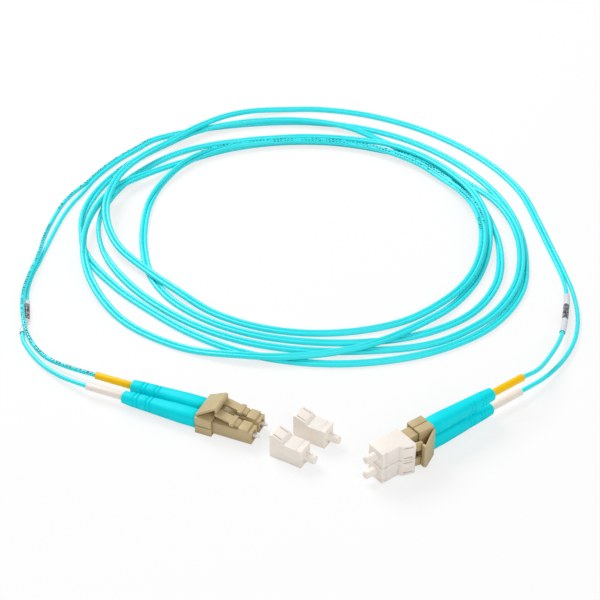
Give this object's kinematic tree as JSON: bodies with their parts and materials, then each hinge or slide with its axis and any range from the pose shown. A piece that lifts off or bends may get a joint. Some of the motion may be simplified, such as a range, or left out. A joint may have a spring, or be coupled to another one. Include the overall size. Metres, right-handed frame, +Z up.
{
  "type": "fiber optic patch cord",
  "caption": "Duplex fibre optic patch cord: flat two-strand aqua cord in a loose coil, with push-latch connector pairs, strain-relief boots, marker sleeves and dust caps.",
  "frame": {"origin": "on the resting surface, under the middle of the box of the two connectors and the loose caps", "axes": "+Z up from the resting surface, +X along the row of connectors from A to B, +Y towards the coil"},
  "size_m": [0.2058, 0.2424, 0.0127],
  "materials": {
    "beige_plastic": "moulded beige plastic, fine satin",
    "white_plastic": "moulded warm-white plastic, soft satin",
    "aqua_jacket": "extruded aqua jacket, slight sheen",
    "aqua_boot": "flexible aqua boot, matte",
    "ceramic": "polished white zirconia",
    "metal": "plain steel",
    "yellow_sleeve": "yellow marker sleeve",
    "white_sleeve": "white marker sleeve",
    "clear_sleeve": "clear shrink sleeve over a printed tag",
    "fibre_buffer": "tight buffer on the glass fibre"
  },
  "bodies": {
    "cord_and_connectors": {"boot_a1": "aqua_boot", "boot_a2": "aqua_boot", "boot_b1": "aqua_boot", "boot_b2": "aqua_boot", "cable_coil": "aqua_jacket", "clip_lower_a": "beige_plastic", "clip_lower_b": "beige_plastic", "clip_upper_a": "beige_plastic", "clip_upper_b": "beige_plastic", "crimp_ring_a1": "metal", "crimp_ring_a2": "metal", "crimp_ring_b1": "metal", "crimp_ring_b2": "metal", "fibre_a1": "fibre_buffer", "fibre_a2": "fibre_buffer", "fibre_b1": "fibre_buffer", "fibre_b2": "fibre_buffer", "housing_a1": "beige_plastic", "housing_a2": "beige_plastic", "housing_b1": "beige_plastic", "housing_b2": "beige_plastic", "label_sleeve_a": "clear_sleeve", "label_sleeve_b": "clear_sleeve", "marker_sleeve_a1": "yellow_sleeve", "marker_sleeve_a2": "white_sleeve", "marker_sleeve_b1": "yellow_sleeve", "marker_sleeve_b2": "white_sleeve", "rear_body_a1": "metal", "rear_body_a2": "metal", "rear_body_b1": "metal", "rear_body_b2": "metal", "spring_a1": "metal", "spring_a2": "metal", "spring_b1": "metal", "spring_b2": "metal", "strand_a1": "aqua_jacket", "strand_a2": "aqua_jacket", "strand_b1": "aqua_jacket", "strand_b2": "aqua_jacket", "zip_run_b": "aqua_jacket"},
    "dust_cap_a1": {"dust_cap_a1": "white_plastic"},
    "dust_cap_a2": {"dust_cap_a2": "white_plastic"},
    "dust_cap_b1": {"dust_cap_b1": "white_plastic"},
    "dust_cap_b2": {"dust_cap_b2": "white_plastic"},
    "ferrule_a1": {"ferrule_a1": "ceramic", "ferrule_flange_a1": "metal"},
    "ferrule_a2": {"ferrule_a2": "ceramic", "ferrule_flange_a2": "metal"},
    "ferrule_b1": {"ferrule_b1": "ceramic", "ferrule_flange_b1": "metal"},
    "ferrule_b2": {"ferrule_b2": "ceramic", "ferrule_flange_b2": "metal"},
    "latch_arm_a1": {"latch_arm_a1": "beige_plastic"},
    "latch_arm_a2": {"latch_arm_a2": "beige_plastic"},
    "latch_arm_b1": {"latch_arm_b1": "beige_plastic"},
    "latch_arm_b2": {"latch_arm_b2": "beige_plastic"},
    "trigger_a": {"trigger_a": "beige_plastic"},
    "trigger_b": {"trigger_b": "beige_plastic"}
  },
  "joints": [
    {"name": "trigger_press_a", "type": "hinge", "parent": "cord_and_connectors", "child": "trigger_a", "pos_m": [-0.03433, 0.00715, 0.00715], "axis": [0.3987, 0.9171, 0], "range_deg": [0, 12], "stiffness_Nm_per_rad": 0.005},
    {"name": "latch_flex_a1", "type": "hinge", "parent": "cord_and_connectors", "child": "latch_arm_a1", "pos_m": [-0.01905, 0.00392, 0.00635], "axis": [0.3987, 0.9171, 0], "range_deg": [-10, 0], "stiffness_Nm_per_rad": 0.002},
    {"name": "ferrule_float_a1", "type": "slide", "parent": "cord_and_connectors", "child": "ferrule_a1", "axis": [-0.9171, 0.3987, 0], "range_m": [0, 0.001], "stiffness_N_per_m": 1500, "deforming": ["spring_a1"]},
    {"name": "latch_flex_a2", "type": "hinge", "parent": "cord_and_connectors", "child": "latch_arm_a2", "pos_m": [-0.02154, -0.00181, 0.00635], "axis": [0.3987, 0.9171, 0], "range_deg": [-10, 0], "stiffness_Nm_per_rad": 0.002},
    {"name": "ferrule_float_a2", "type": "slide", "parent": "cord_and_connectors", "child": "ferrule_a2", "axis": [-0.9171, 0.3987, 0], "range_m": [0, 0.001], "stiffness_N_per_m": 1500, "deforming": ["spring_a2"]},
    {"name": "trigger_press_b", "type": "hinge", "parent": "cord_and_connectors", "child": "trigger_b", "pos_m": [0.04142, -0.01035, 0.00636], "axis": [0, 0, -1], "range_deg": [0, 12], "stiffness_Nm_per_rad": 0.005},
    {"name": "latch_flex_b1", "type": "hinge", "parent": "cord_and_connectors", "child": "latch_arm_b1", "pos_m": [0.02875, -0.01897, 0.00948], "axis": [0, 0, -1], "range_deg": [-10, 0], "stiffness_Nm_per_rad": 0.002},
    {"name": "ferrule_float_b1", "type": "slide", "parent": "cord_and_connectors", "child": "ferrule_b1", "axis": [0.7965, 0.6046, 0], "range_m": [0, 0.001], "stiffness_N_per_m": 1500, "deforming": ["spring_b1"]},
    {"name": "cap_pull_b1", "type": "slide", "parent": "cord_and_connectors", "child": "dust_cap_b1", "axis": [-0.7965, -0.6046, 0], "range_m": [0, 0.012]},
    {"name": "latch_flex_b2", "type": "hinge", "parent": "cord_and_connectors", "child": "latch_arm_b2", "pos_m": [0.02875, -0.01897, 0.00323], "axis": [0, 0, -1], "range_deg": [-10, 0], "stiffness_Nm_per_rad": 0.002},
    {"name": "ferrule_float_b2", "type": "slide", "parent": "cord_and_connectors", "child": "ferrule_b2", "axis": [0.7965, 0.6046, 0], "range_m": [0, 0.001], "stiffness_N_per_m": 1500, "deforming": ["spring_b2"]},
    {"name": "cap_pull_b2", "type": "slide", "parent": "cord_and_connectors", "child": "dust_cap_b2", "axis": [-0.7965, -0.6046, 0], "range_m": [0, 0.012]},
    {"name": "cap_lift_a1", "type": "slide", "parent": "cord_and_connectors", "child": "dust_cap_a1", "axis": [0, 0, 1], "range_m": [0, 0.02]},
    {"name": "cap_lift_a2", "type": "slide", "parent": "cord_and_connectors", "child": "dust_cap_a2", "axis": [0, 0, 1], "range_m": [0, 0.02]}
  ],
  "couplings": [
    {"joint": "latch_flex_a1", "follows": "trigger_press_a", "ratio": -0.83},
    {"joint": "latch_flex_a2", "follows": "trigger_press_a", "ratio": -0.83},
    {"joint": "latch_flex_b1", "follows": "trigger_press_b", "ratio": -0.83},
    {"joint": "latch_flex_b2", "follows": "trigger_press_b", "ratio": -0.83}
  ]
}
